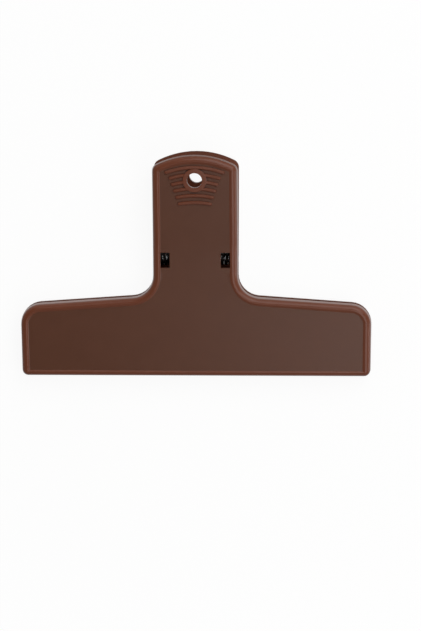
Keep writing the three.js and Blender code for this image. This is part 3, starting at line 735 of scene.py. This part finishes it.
def light_room(studio):
    """Room under a dim ceiling, with a bright low wall past the handle."""
    world = bpy.data.worlds.new("white_room")
    bpy.context.scene.world = world
    world.use_nodes = True
    tree = world.node_tree
    tree.nodes.clear()
    way = tree.nodes.new("ShaderNodeTexCoord").outputs["Generated"]
    parts = put(tree, "ShaderNodeSeparateXYZ", {"Vector": way}).outputs
    wall_top, ceiling = 0.5, 0.85  # height of a ray's direction, up to 1 straight up
    glow_from, glow_end = 0.2, 0.35
    sides_end, past_handle = 0.3, 0.7
    room = stretch(tree, parts["Z"], wall_top, ceiling, studio.horizon, studio.overhead)
    low = stretch(tree, parts["Z"], glow_from, glow_end, studio.low_glow, 0.0)
    past = stretch(tree, parts["Y"], sides_end, past_handle)
    level = sums(tree, "ADD", room, sums(tree, "MULTIPLY", low, past))
    back = put(tree, "ShaderNodeBackground", {"Color": (1.0, 1.0, 1.0, 1.0), "Strength": level})
    result = tree.nodes.new("ShaderNodeOutputWorld")
    tree.links.new(back.outputs["Background"], result.inputs["Surface"])


def soft_lamp(name, from_point, side, watts):
    """Square softbox that faces the clip."""
    light = bpy.data.lights.new(name, "AREA")
    light.shape = "SQUARE"
    light.size = side
    light.energy = watts
    lamp = bpy.data.objects.new(name, light)
    bpy.context.scene.collection.objects.link(lamp)
    lamp.location = from_point
    lamp.rotation_euler = (-Vector(from_point)).to_track_quat("-Z", "Y").to_euler()


def place_camera(studio):
    """Camera above the clip that lies on its back, nearly square to it."""
    data = bpy.data.cameras.new("product_camera")
    data.lens = studio.focal
    data.sensor_width = 36.0
    data.clip_start, data.clip_end = 0.05, 50.0
    camera = bpy.data.objects.new("product_camera", data)
    bpy.context.scene.collection.objects.link(camera)
    back = Vector((math.tan(studio.view_right), math.tan(studio.view_top), 1.0)).normalized()
    up = Vector((math.sin(studio.roll), math.cos(studio.roll), 0.0))
    right = up.cross(back).normalized()
    up = back.cross(right)
    turn = Matrix((right, up, back)).transposed().to_4x4()
    camera.matrix_world = Matrix.Translation(Vector(studio.target) + back * studio.distance) @ turn
    bpy.context.scene.camera = camera


# Operators


class ClipStep(bpy.types.Operator):
    """What the clip's operators share."""

    bl_idname = "paper_clip.step"
    bl_label = "Clip step"
    bl_options = {"REGISTER", "UNDO"}


class FinishHalves(ClipStep):
    """Give both moulded halves their satin plastic"""

    bl_idname = "paper_clip.finish_halves"
    bl_label = "Finish the halves"

    def execute(self, context):
        settings = context.scene.paper_clip
        finish = settings.plastic
        plastic = brown_plastic(finish, settings.tray)
        for name in TRAY_NODES:
            half = frame["nodes"][name]
            dress(half, plastic)
            soften(half, finish.smooth_under)
        return {"FINISHED"}


class FinishPin(ClipStep):
    """Give the hinge pin its plated steel"""

    bl_idname = "paper_clip.finish_pin"
    bl_label = "Finish the hinge pin"

    def execute(self, context):
        pin = frame["nodes"][PIN_NODE]
        dress(pin, plated_pin(context.scene.paper_clip.steel))
        soften(pin, context.scene.paper_clip.plastic.smooth_under)
        return {"FINISHED"}


class WindSpring(ClipStep):
    """Wind the two halves of the torsion spring, each of which twists between the handles"""

    bl_idname = "paper_clip.wind_spring"
    bl_label = "Wind the spring"

    def execute(self, context):
        settings = context.scene.paper_clip
        sizes = settings.spring
        wire = drawn_wire(settings.steel)
        from_clip = Matrix.Translation(hinge_place()) @ Matrix.Rotation(resting_lean(), 4, "X")
        for name, side in (("spring_right", 1), ("spring_left", -1)):
            line = half_spring_line(sizes, side)
            mesh = round_bar(name, line, sizes.wire, sizes.burr)
            mesh.transform(from_clip)
            spring = bpy.data.objects.new(name, mesh)
            context.scene.collection.objects.link(spring)
            dress(spring, wire)
            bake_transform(spring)
            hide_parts(SPRING_NODE)
        return {"FINISHED"}


class SetStage(ClipStep):
    """Lay the floor, light the room and place the camera"""

    bl_idname = "paper_clip.set_stage"
    bl_label = "Set the stage"

    def execute(self, context):
        studio = context.scene.paper_clip.studio
        reach = studio.floor / 2
        mesh = bpy.data.meshes.new("floor")
        corners = [(-reach, -reach, 0), (reach, -reach, 0), (reach, reach, 0), (-reach, reach, 0)]
        mesh.from_pydata(corners, [], [(0, 1, 2, 3)])
        floor = bpy.data.objects.new("floor", mesh)
        context.scene.collection.objects.link(floor)
        dress(floor, floor_material(studio))
        light_room(studio)
        soft_lamp("key_softbox", studio.key, studio.key_side, studio.key_power)
        soft_lamp("right_softbox", studio.right, studio.right_side, studio.right_power)
        soft_lamp("haze_softbox", studio.haze, studio.haze_side, studio.haze_power)
        place_camera(studio)
        context.scene.view_settings.view_transform = "Standard"
        return {"FINISHED"}


class ClipPanel(bpy.types.Panel):
    """Steps and settings of the clip"""

    bl_idname = "VIEW3D_PT_paper_clip"
    bl_label = "Plastic clip"
    bl_space_type = "VIEW_3D"
    bl_region_type = "UI"
    bl_category = "Clip"

    def draw(self, context):
        settings = context.scene.paper_clip
        rows = (
            (FinishHalves, (settings.plastic, settings.tray)),
            (FinishPin, (settings.steel,)),
            (WindSpring, (settings.spring,)),
            (SetStage, (settings.studio,)),
        )
        for step, groups in rows:
            box = self.layout.box()
            box.operator(step.bl_idname)
            for group in groups:
                for name in group.__annotations__:
                    box.prop(group, name)


STEPS = (FinishHalves, FinishPin, WindSpring, SetStage)
SETTINGS = (PlasticFinish, TrayShape, SteelFinish, SpringSizes, StudioSettings, ClipSettings)


def register():
    for kind in (*SETTINGS, *STEPS, ClipPanel):
        bpy.utils.register_class(kind)
    bpy.types.Scene.paper_clip = bpy.props.PointerProperty(type=ClipSettings)


def unregister():
    del bpy.types.Scene.paper_clip
    for kind in reversed((*SETTINGS, *STEPS, ClipPanel)):
        bpy.utils.unregister_class(kind)


def main():
    register()
    bpy.ops.paper_clip.finish_halves()
    bpy.ops.paper_clip.finish_pin()
    bpy.ops.paper_clip.wind_spring()
    bpy.ops.paper_clip.set_stage()


if __name__ == "__main__":
    main()
